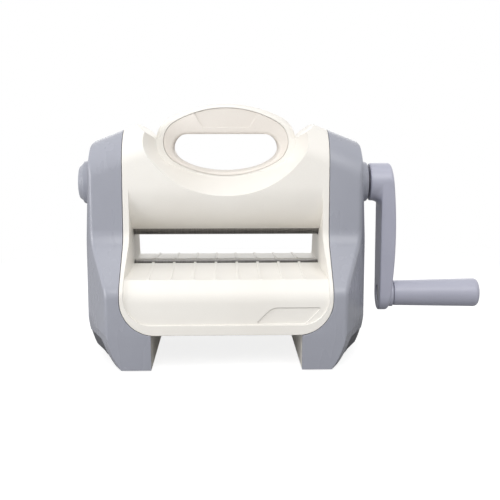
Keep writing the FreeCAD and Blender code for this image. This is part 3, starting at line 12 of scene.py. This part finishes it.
import bmesh
import bpy
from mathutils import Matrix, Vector


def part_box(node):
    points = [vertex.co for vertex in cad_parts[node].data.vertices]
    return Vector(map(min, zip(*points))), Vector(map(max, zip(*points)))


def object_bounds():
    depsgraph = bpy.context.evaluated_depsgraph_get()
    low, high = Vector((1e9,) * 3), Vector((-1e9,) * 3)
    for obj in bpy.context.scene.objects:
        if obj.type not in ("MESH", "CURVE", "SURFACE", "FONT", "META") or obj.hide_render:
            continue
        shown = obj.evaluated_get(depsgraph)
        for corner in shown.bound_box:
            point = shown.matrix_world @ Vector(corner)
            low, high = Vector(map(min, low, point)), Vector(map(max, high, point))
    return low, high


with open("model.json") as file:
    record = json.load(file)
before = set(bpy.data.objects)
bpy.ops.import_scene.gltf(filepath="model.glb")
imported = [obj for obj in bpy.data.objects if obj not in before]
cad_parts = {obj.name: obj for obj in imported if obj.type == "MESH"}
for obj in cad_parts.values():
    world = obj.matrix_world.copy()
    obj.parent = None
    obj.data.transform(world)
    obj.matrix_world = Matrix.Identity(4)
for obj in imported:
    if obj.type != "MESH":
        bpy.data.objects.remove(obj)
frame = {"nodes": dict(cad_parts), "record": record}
cad_low, cad_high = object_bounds()
size_mm = [round(1000 * (b - a), 1) for a, b in zip(cad_low, cad_high)]
print("loaded", len(frame["nodes"]), "parts, overall size in mm:", size_mm)

# %% [markdown]
# ## A few words for building finishes
#
# Every finish below is a node tree made of the same few steps: a noise at the size of the real grain,
# a colour ramp that turns noise into a colour range, a bump that turns it into relief, and a mask that
# finds edges. Writing those steps once as helpers keeps each finish short enough to read at a glance.
# All patterns read Object coordinates. The parts sit at the origin with their place in their mesh, so one
# unit of texture space is one metre, and a noise scale of 1000 has features about a millimetre across.

# %% helpers for node trees
MIX_FIRST = 6
MIX_SECOND = 7
MIX_RESULT = 2
BEVEL_SAMPLES = 6


def linear(red, green, blue):
    """A colour given in 0 to 255 steps, as the linear values that shaders work in."""
    steps = [value / 255 for value in (red, green, blue)]
    return tuple(((v + 0.055) / 1.055) ** 2.4 if v > 0.04045 else v / 12.92 for v in steps) + (1.0,)


class Finish:
    """One material under construction, with the node steps that the finishes share."""

    def __init__(self, name):
        self.material = bpy.data.materials.new(name)
        self.material.use_nodes = True
        self.tree = self.material.node_tree
        self.shader = self.tree.nodes["Principled BSDF"]
        self.place = self.node("ShaderNodeTexCoord").outputs["Object"]

    def node(self, kind, **settings):
        """A new node of the tree with some of its settings changed."""
        made = self.tree.nodes.new(kind)
        for key, value in settings.items():
            setattr(made, key, value)
        return made

    def join(self, output, target):
        """A link from one node's output to another node's input."""
        self.tree.links.new(output, target)

    def stretched(self, stretch):
        """Object coordinates scaled apart, so that a noise becomes streaks."""
        mapping = self.node("ShaderNodeMapping")
        mapping.inputs["Scale"].default_value = stretch
        self.join(self.place, mapping.inputs["Vector"])
        return mapping.outputs["Vector"]

    def noise(self, scale, detail=3.0, stretch=(1, 1, 1)):
        """A cloudy pattern between zero and one."""
        texture = self.node("ShaderNodeTexNoise")
        texture.inputs["Scale"].default_value = scale
        texture.inputs["Detail"].default_value = detail
        self.join(self.stretched(stretch), texture.inputs["Vector"])
        return texture.outputs["Fac"]

    def ramp(self, factor, low, high, first, last):
        """A colour that goes from first to last as the factor goes from low to high."""
        ramp = self.node("ShaderNodeValToRGB")
        for stop, place, colour in zip(ramp.color_ramp.elements, (low, high), (first, last)):
            stop.position = place
            stop.color = colour
        self.join(factor, ramp.inputs["Fac"])
        return ramp.outputs["Color"]

    def spread(self, factor, low, high):
        """A number that follows the factor between two values."""
        spread = self.node("ShaderNodeMapRange")
        spread.inputs["To Min"].default_value = low
        spread.inputs["To Max"].default_value = high
        self.join(factor, spread.inputs["Value"])
        return spread.outputs["Result"]

    def mix(self, factor, first, second):
        """Two colours mixed by a factor. Its colour sockets share their names, so they go by number."""
        mix = self.node("ShaderNodeMix", data_type="RGBA")
        self.join(factor, mix.inputs["Factor"])
        self.join(first, mix.inputs[MIX_FIRST])
        if isinstance(second, tuple):
            mix.inputs[MIX_SECOND].default_value = second
        else:
            self.join(second, mix.inputs[MIX_SECOND])
        return mix.outputs[MIX_RESULT]

    def soft_edges(self, radius):
        """Normals that round every edge over the given radius, as a mould does."""
        bevel = self.node("ShaderNodeBevel", samples=BEVEL_SAMPLES)
        bevel.inputs["Radius"].default_value = radius
        return bevel.outputs["Normal"]

    def edge_mask(self, rounded, sharpness):
        """One along outer and inner edges, zero on open faces."""
        flat = self.node("ShaderNodeNewGeometry").outputs["Normal"]
        dot = self.node("ShaderNodeVectorMath", operation="DOT_PRODUCT")
        self.join(rounded, dot.inputs[0])
        self.join(flat, dot.inputs[1])
        mask = self.node("ShaderNodeMapRange")
        mask.inputs["From Min"].default_value = 1.0
        mask.inputs["From Max"].default_value = 1.0 - sharpness
        self.join(dot.outputs["Value"], mask.inputs["Value"])
        return mask.outputs["Result"]

    def relief(self, height, depth, strength, normal=None):
        """Bump of a real depth, in metres, on top of another normal."""
        bump = self.node("ShaderNodeBump")
        bump.inputs["Distance"].default_value = depth
        bump.inputs["Strength"].default_value = strength
        self.join(height, bump.inputs["Height"])
        if normal is not None:
            self.join(normal, bump.inputs["Normal"])
        return bump.outputs["Normal"]

    def dress(self, **sockets):
        """Sets or links the shader's inputs, named with underscores for spaces."""
        for key, value in sockets.items():
            socket = self.shader.inputs[key.replace("_", " ")]
            if isinstance(value, bpy.types.NodeSocket):
                self.join(value, socket)
            else:
                socket.default_value = value
        return self.material


print("helpers ready")

# %% [markdown]
# ## Moulded plastic
#
# The shells, covers, crank and bases are injection moulded. Up close such plastic is never one colour:
# the tone drifts a little where the melt flowed, the mould leaves a fine spark-eroded grain, and edges look
# lighter where hands rub them. A picture of plastic could be wrapped around each part, but it would need an
# unwrapped mesh and would stretch on the curved covers. Noise in Object coordinates needs neither, and one
# recipe with different colours and grain sizes covers all five plastics.

# %% moulded plastics
DRIFT_SCALE = 14
FLOW_SCALE = 60
FLOW_STREAK = (1, 1, 0.25)
MOULD_RADIUS = 0.0007
MOULD_EDGE = 0.12
SPECK_SHADE = 0.94
SPECK_SHARE = 0.35
RUBBED_SHARE = 0.4
GRAIN_STRENGTH = 0.35
PLASTIC_SMOOTHER = 0.05
PLASTIC_ROUGHER = 0.06
PLASTIC_SHEEN = 0.45


def moulded_plastic(name, light, dark, roughness, grain, grain_depth, edge_tone):
    """Plastic whose tone drifts with the melt, with a fine grain and lighter edges."""
    finish = Finish(name)
    drift = finish.noise(DRIFT_SCALE, detail=4)
    flow = finish.noise(FLOW_SCALE, detail=2, stretch=FLOW_STREAK)
    grain_height = finish.noise(grain, detail=2)
    rounded = finish.soft_edges(MOULD_RADIUS)
    edges = finish.edge_mask(rounded, MOULD_EDGE)
    body = finish.ramp(drift, low=0.32, high=0.68, first=dark, last=light)
    shaded = tuple(SPECK_SHADE * value for value in dark[:3]) + (1,)
    speck = finish.ramp(grain_height, low=0.25, high=0.6, first=shaded, last=light)
    colour = finish.mix(finish.spread(flow, low=0.0, high=SPECK_SHARE), body, speck)
    worn = finish.mix(finish.spread(edges, low=0.0, high=RUBBED_SHARE), colour, edge_tone)
    return finish.dress(
        Base_Color=worn,
        Roughness=finish.spread(flow, low=roughness - PLASTIC_SMOOTHER, high=roughness + PLASTIC_ROUGHER),
        Normal=finish.relief(grain_height, grain_depth, GRAIN_STRENGTH, rounded),
        Specular_IOR_Level=PLASTIC_SHEEN,
    )


finishes = {
    "cream_plastic": moulded_plastic(
        "cream_moulding", light=linear(240, 237, 231), dark=linear(234, 230, 223), roughness=0.42,
        grain=1500, grain_depth=0.00004, edge_tone=linear(246, 244, 239)),
    "liner_plastic": moulded_plastic(
        "handle_lining", light=linear(232, 226, 219), dark=linear(225, 218, 210), roughness=0.5,
        grain=1300, grain_depth=0.00005, edge_tone=linear(238, 233, 227)),
    "grey_plastic": moulded_plastic(
        "grey_cover_moulding", light=linear(160, 162, 172), dark=linear(154, 156, 166), roughness=0.27,
        grain=1700, grain_depth=0.00003, edge_tone=linear(186, 188, 198)),
    "crank_plastic": moulded_plastic(
        "crank_moulding", light=linear(184, 185, 200), dark=linear(177, 178, 193), roughness=0.30,
        grain=1700, grain_depth=0.00003, edge_tone=linear(196, 197, 210)),
    "dark_plastic": moulded_plastic(
        "dark_base_moulding", light=linear(84, 85, 90), dark=linear(74, 75, 80), roughness=0.55,
        grain=1100, grain_depth=0.00006, edge_tone=linear(104, 105, 110)),
}
print("moulded plastics:", sorted(finishes))

# %% [markdown]
# ## Rubber
#
# The foot pads are matt rubber, finely pored, with patches of pale dust. Only their rims show from the side,
# so no pore is modelled: a fine noise stands in for the pores and a broad one for the dust.

# %% rubber pads
RUBBER_PORES = 2200
RUBBER_DUST = 90
PORE_DEPTH = 0.0001
PORE_STRENGTH = 0.5
PAD_RADIUS = 0.0006
RUBBER_SHEEN = 0.3


def pad_rubber():
    """Matt black rubber with fine pores and patches of pale dust."""
    finish = Finish("pad_rubber")
    pores = finish.noise(RUBBER_PORES, detail=3)
    dust = finish.noise(RUBBER_DUST, detail=5)
    colour = finish.ramp(dust, low=0.42, high=0.75, first=linear(24, 24, 25), last=linear(58, 57, 55))
    return finish.dress(
        Base_Color=colour,
        Roughness=finish.spread(pores, low=0.72, high=0.9),
        Normal=finish.relief(pores, PORE_DEPTH, PORE_STRENGTH, finish.soft_edges(PAD_RADIUS)),
        Specular_IOR_Level=RUBBER_SHEEN,
    )


finishes["pad_rubber"] = pad_rubber()
print("rubber:", finishes["pad_rubber"].name)

# %% [markdown]
# ## Steel
#
# The rollers are turned and blackened, so they carry fine rings around their axis. The side plates are rolled
# and zinc plated sheet, the gears show cutter marks along their teeth, and the screws are bright zinc. An
# anisotropic shader could draw such marks as stretched highlights alone. A noise that is stretched along the
# way of the tool also gives them colour and relief. The metals differ in their marks more than in their
# colour, so one recipe takes the marks as values.

# %% metals
SMUDGE_SCALE = 45
SMUDGE_SHARE = 0.5
METAL_RADIUS = 0.0005
METAL_EDGE = 0.15
BRIGHT_SHARE = 0.7
MARKS_STRENGTH = 0.4
METAL_SMOOTHER = 0.08
METAL_ROUGHER = 0.1


def worked_metal(name, light, dark, roughness, marks, marks_depth, stretch, edge_tone):
    """Metal with tool marks: a noise stretched along the way the tool went."""
    finish = Finish(name)
    lines = finish.noise(marks, detail=3, stretch=stretch)
    smudge = finish.noise(SMUDGE_SCALE, detail=4)
    rounded = finish.soft_edges(METAL_RADIUS)
    edges = finish.edge_mask(rounded, METAL_EDGE)
    colour = finish.ramp(lines, low=0.3, high=0.7, first=dark, last=light)
    stained = finish.mix(finish.spread(smudge, low=0.0, high=SMUDGE_SHARE), colour, dark)
    worn = finish.mix(finish.spread(edges, low=0.0, high=BRIGHT_SHARE), stained, edge_tone)
    return finish.dress(
        Base_Color=worn,
        Metallic=1.0,
        Roughness=finish.spread(smudge, low=roughness - METAL_SMOOTHER, high=roughness + METAL_ROUGHER),
        Normal=finish.relief(lines, marks_depth, MARKS_STRENGTH, rounded),
    )


finishes["roller_steel"] = worked_metal(
    "blackened_roller_steel", light=linear(150, 148, 145), dark=linear(122, 120, 118), roughness=0.46,
    marks=900, marks_depth=0.00003, stretch=(1, 0.02, 0.02), edge_tone=linear(140, 138, 134))
finishes["plate_steel"] = worked_metal(
    "zinc_plated_sheet", light=linear(196, 198, 203), dark=linear(168, 170, 175), roughness=0.38,
    marks=700, marks_depth=0.00002, stretch=(0.05, 0.05, 1), edge_tone=linear(214, 216, 220))
finishes["gear_steel"] = worked_metal(
    "machined_gear_steel", light=linear(172, 172, 174), dark=linear(138, 138, 141), roughness=0.34,
    marks=1100, marks_depth=0.00003, stretch=(0.05, 1, 1), edge_tone=linear(206, 206, 208))
finishes["screw_steel"] = worked_metal(
    "bright_screw_zinc", light=linear(206, 206, 208), dark=linear(178, 177, 174), roughness=0.28,
    marks=1600, marks_depth=0.00002, stretch=(1, 1, 1), edge_tone=linear(226, 226, 228))
print("metals:", sorted(name for name in finishes if name.endswith("steel")))

# %% [markdown]
# ## Sintered bronze
#
# The bushes are pressed from bronze powder and stay porous, so that they can hold oil. A noise would give
# clouds. A Voronoi texture has one low point in each cell, which makes separate pits, dark at the bottom.

# %% sintered bronze
BRONZE_PORES = 1800
BRONZE_PORE_DEPTH = 0.00005
BRONZE_PORE_STRENGTH = 0.5
BRONZE_POLISH = 300
BUSH_RADIUS = 0.0004


def sintered_bronze():
    """Porous bronze, dark in the pores and lighter between them."""
    finish = Finish("sintered_bronze")
    pores = finish.node("ShaderNodeTexVoronoi")
    pores.inputs["Scale"].default_value = BRONZE_PORES
    finish.join(finish.place, pores.inputs["Vector"])
    height = pores.outputs["Distance"]
    colour = finish.ramp(height, low=0.05, high=0.5, first=linear(118, 88, 50), last=linear(186, 146, 88))
    return finish.dress(
        Base_Color=colour,
        Metallic=1.0,
        Roughness=finish.spread(finish.noise(BRONZE_POLISH), low=0.38, high=0.56),
        Normal=finish.relief(
            height, BRONZE_PORE_DEPTH, BRONZE_PORE_STRENGTH, finish.soft_edges(BUSH_RADIUS)),
    )


finishes["bush_bronze"] = sintered_bronze()
print("finishes:", sorted(finishes))

# %% [markdown]
# ## Giving every part its finish
#
# The record says which material slot each part belongs to, so the script asks the record and keeps no second
# list. A CAD part's mesh is loose triangles. They could be welded and shaded in place, but a small geometry
# node modifier does it without touching the mesh itself. It welds the triangles and shades them smooth up to
# an angle, which keeps round faces round and crisp edges crisp.

# %% smooth shading as a modifier
SMOOTH_ANGLE = math.radians(28)
WELD_DISTANCE = 0.000002


def smooth_by_angle():
    """A node group that welds loose triangles and shades them smooth below an angle."""
    group = bpy.data.node_groups.new("weld_and_smooth", "GeometryNodeTree")
    group.interface.new_socket("Geometry", in_out="INPUT", socket_type="NodeSocketGeometry")
    group.interface.new_socket("Geometry", in_out="OUTPUT", socket_type="NodeSocketGeometry")
    make = group.nodes.new
    link = group.links.new
    weld = make("GeometryNodeMergeByDistance")
    weld.inputs["Distance"].default_value = WELD_DISTANCE
    faces = make("GeometryNodeSetShadeSmooth")
    faces.domain = "FACE"
    edges = make("GeometryNodeSetShadeSmooth")
    edges.domain = "EDGE"
    angle = make("GeometryNodeInputMeshEdgeAngle")
    below = make("FunctionNodeCompare")
    below.operation = "LESS_EQUAL"
    below.inputs["B"].default_value = SMOOTH_ANGLE
    link(make("NodeGroupInput").outputs[0], weld.inputs["Geometry"])
    link(weld.outputs["Geometry"], faces.inputs["Geometry"])
    link(faces.outputs["Geometry"], edges.inputs["Geometry"])
    link(angle.outputs["Unsigned Angle"], below.inputs["A"])
    link(below.outputs["Result"], edges.inputs["Shade Smooth"])
    link(edges.outputs["Geometry"], make("NodeGroupOutput").inputs[0])
    return group


smoothing = smooth_by_angle()
print("smoothing:", len(smoothing.nodes), "nodes, up to", round(math.degrees(SMOOTH_ANGLE)), "degrees")

# %% dress the parts
slot_of = {part["node"]: part["material_slot"] for part in frame["record"]["subparts"]}
for name, part in sorted(frame["nodes"].items()):
    finish = finishes[slot_of[name]]
    if not part.material_slots:
        part.data.materials.append(finish)
    for slot in part.material_slots:
        slot.material = finish
    part.modifiers.new("weld_and_smooth", "NODES").node_group = smoothing
print("dressed", len(slot_of), "parts")

# %% [markdown]
# ## The floor of the white studio
#
# The machine stands on a pale sweep. That could be a curved backdrop, but a flat plane that fades to white
# looks the same in a picture and leaves the views from behind open. Near the machine the camera sees its soft
# shadow on lightened paper, and past SHADOW_REACH plain white. All other rays meet grey paper, so that little
# light is thrown back up under the machine.

# %% floor
FLOOR_HALF = 6.0
FLOOR_GLOW = 0.82
SHADOW_REACH = 0.6
SHADOW_FADE = 0.5
PAPER_SCALE = 3
PAPER_DARK = (0.36, 0.36, 0.36, 1)
PAPER_LIGHT = (0.40, 0.40, 0.40, 1)
PAPER_ROUGHNESS = 0.6


def pale_floor():
    """A floor that keeps the machine's shadow near it and fades to white further out."""
    mesh = bpy.data.meshes.new("floor")
    shape = bmesh.new()
    bmesh.ops.create_grid(shape, x_segments=1, y_segments=1, size=FLOOR_HALF)
    shape.to_mesh(mesh)
    shape.free()
    floor = bpy.data.objects.new("floor", mesh)
    bpy.context.scene.collection.objects.link(floor)
    finish = Finish("pale_floor")
    paper = finish.noise(PAPER_SCALE, detail=2)
    mesh.materials.append(finish.dress(
        Base_Color=finish.ramp(paper, low=0.3, high=0.7, first=PAPER_DARK, last=PAPER_LIGHT),
        Roughness=PAPER_ROUGHNESS,
        Specular_IOR_Level=0.0,
    ))
    near = finish.node("ShaderNodeTexGradient", gradient_type="SPHERICAL")
    finish.join(finish.stretched((1 / SHADOW_REACH,) * 3), near.inputs["Vector"])
    shown = finish.node("ShaderNodeMapRange")
    shown.inputs["From Max"].default_value = SHADOW_FADE
    finish.join(near.outputs["Fac"], shown.inputs["Value"])
    glow = finish.node("ShaderNodeEmission")
    glow.inputs["Strength"].default_value = FLOOR_GLOW
    white = finish.node("ShaderNodeEmission")
    lit = finish.node("ShaderNodeAddShader")
    sweep = finish.node("ShaderNodeMixShader")
    choice = finish.node("ShaderNodeMixShader")
    seen = finish.node("ShaderNodeLightPath").outputs["Is Camera Ray"]
    paper_light = finish.shader.outputs["BSDF"]
    finish.join(paper_light, lit.inputs[0])
    finish.join(glow.outputs["Emission"], lit.inputs[1])
    finish.join(shown.outputs["Result"], sweep.inputs["Fac"])
    finish.join(white.outputs["Emission"], sweep.inputs[1])
    finish.join(lit.outputs["Shader"], sweep.inputs[2])
    finish.join(seen, choice.inputs["Fac"])
    finish.join(paper_light, choice.inputs[1])
    finish.join(sweep.outputs["Shader"], choice.inputs[2])
    finish.join(choice.outputs["Shader"], finish.tree.nodes["Material Output"].inputs["Surface"])


pale_floor()
print("floor:", 2 * FLOOR_HALF, "metres wide, shadow kept within", SHADOW_REACH, "metres")

# %% [markdown]
# ## The light of the room
#
# The world stands for the white walls and fills the shadows. At full strength it would wash the shapes out,
# so surfaces get about half of it. Camera, glossy and transmission rays see full white, so that the picture
# has a clean background and steel still reflects a white room.

# %% world
FILL_LIGHT = 0.54
WHITE = (1, 1, 1, 1)


def white_room():
    """Soft light from all sides, and plain white for what the camera and mirrors see."""
    world = bpy.data.worlds.new("white_room")
    bpy.context.scene.world = world
    world.use_nodes = True
    tree = world.node_tree
    fill = tree.nodes["Background"]
    fill.inputs["Color"].default_value = WHITE
    fill.inputs["Strength"].default_value = FILL_LIGHT
    white = tree.nodes.new("ShaderNodeBackground")
    white.inputs["Color"].default_value = WHITE
    path = tree.nodes.new("ShaderNodeLightPath")
    seen = path.outputs["Is Camera Ray"]
    for ray in ("Is Glossy Ray", "Is Transmission Ray"):
        either = tree.nodes.new("ShaderNodeMath")
        either.operation = "MAXIMUM"
        tree.links.new(seen, either.inputs[0])
        tree.links.new(path.outputs[ray], either.inputs[1])
        seen = either.outputs["Value"]
    mix = tree.nodes.new("ShaderNodeMixShader")
    tree.links.new(seen, mix.inputs["Fac"])
    tree.links.new(fill.outputs["Background"], mix.inputs[1])
    tree.links.new(white.outputs["Background"], mix.inputs[2])
    tree.links.new(mix.outputs["Shader"], tree.nodes["World Output"].inputs["Surface"])


white_room()
print("world fill:", FILL_LIGHT)

# %% [markdown]
# ## The lamps
#
# A sun or a small lamp would draw hard shadows, so the light comes from four large area lamps. The main one
# is high in front, a weaker one overhead draws the bright bands on the rounded covers, a low one on the left
# catches the bevels, and one behind lights the slot and the space between the legs.

# %% lamps
LAMPS = {
    "overhead_softbox": ((-0.05, -0.20, 1.05), (0.9, 0.5), 1.8),
    "front_softbox": ((0.05, -0.85, 0.78), (0.9, 0.6), 5.6),
    "left_softbox": ((-0.85, -0.35, 0.20), (0.5, 0.4), 3.2),
    "back_softbox": ((0.0, 0.9, 0.40), (1.2, 0.6), 1.4),
}
machine_middle = (cad_low + cad_high) / 2


def softbox(name, place, size, power):
    """A rectangular area lamp turned to the middle of the machine."""
    lamp = bpy.data.lights.new(name, "AREA")
    lamp.shape = "RECTANGLE"
    lamp.size, lamp.size_y = size
    lamp.energy = power
    placed = bpy.data.objects.new(name, lamp)
    placed.location = place
    placed.rotation_euler = (machine_middle - Vector(place)).to_track_quat("-Z", "Y").to_euler()
    bpy.context.scene.collection.objects.link(placed)


for name, (place, size, power) in LAMPS.items():
    softbox(name, place, size, power)
print("lamps:", sorted(LAMPS))

# %% [markdown]
# ## The camera
#
# The picture is taken from in front of the feed slot with a short telephoto lens, about as high as the handle
# and tilted slightly down. A camera set by eye would put corners and seams a little off, so its place and
# turn were worked out from where known points of the machine fall in the picture.
# The machine's middle plane lies beside the middle of its box, because the crank sticks out on one side.

# %% camera
SENSOR = 36.0
FRAME_PIXELS = 500
FOCAL_PIXELS = 896.5
CAMERA_OUT = 0.7788
CAMERA_UP = 0.2016
CAMERA_ASIDE = -0.0012
PITCH_DOWN = math.radians(8.39)
YAW_RIGHT = math.radians(1.62)
shell_low, shell_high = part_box("front_shell")
machine_x = (shell_low.x + shell_high.x) / 2

camera = bpy.data.cameras.new("camera")
camera.sensor_width = SENSOR
camera.lens = FOCAL_PIXELS / FRAME_PIXELS * SENSOR
viewer = bpy.data.objects.new("camera", camera)
viewer.location = (machine_x + CAMERA_ASIDE, -CAMERA_OUT, CAMERA_UP)
viewer.rotation_euler = (math.pi / 2 - PITCH_DOWN, 0, -YAW_RIGHT)
bpy.context.scene.collection.objects.link(viewer)
bpy.context.scene.camera = viewer
bpy.context.scene.view_settings.view_transform = "Standard"
print("lens", round(camera.lens, 1), "mm, machine middle at x", round(machine_x, 4))
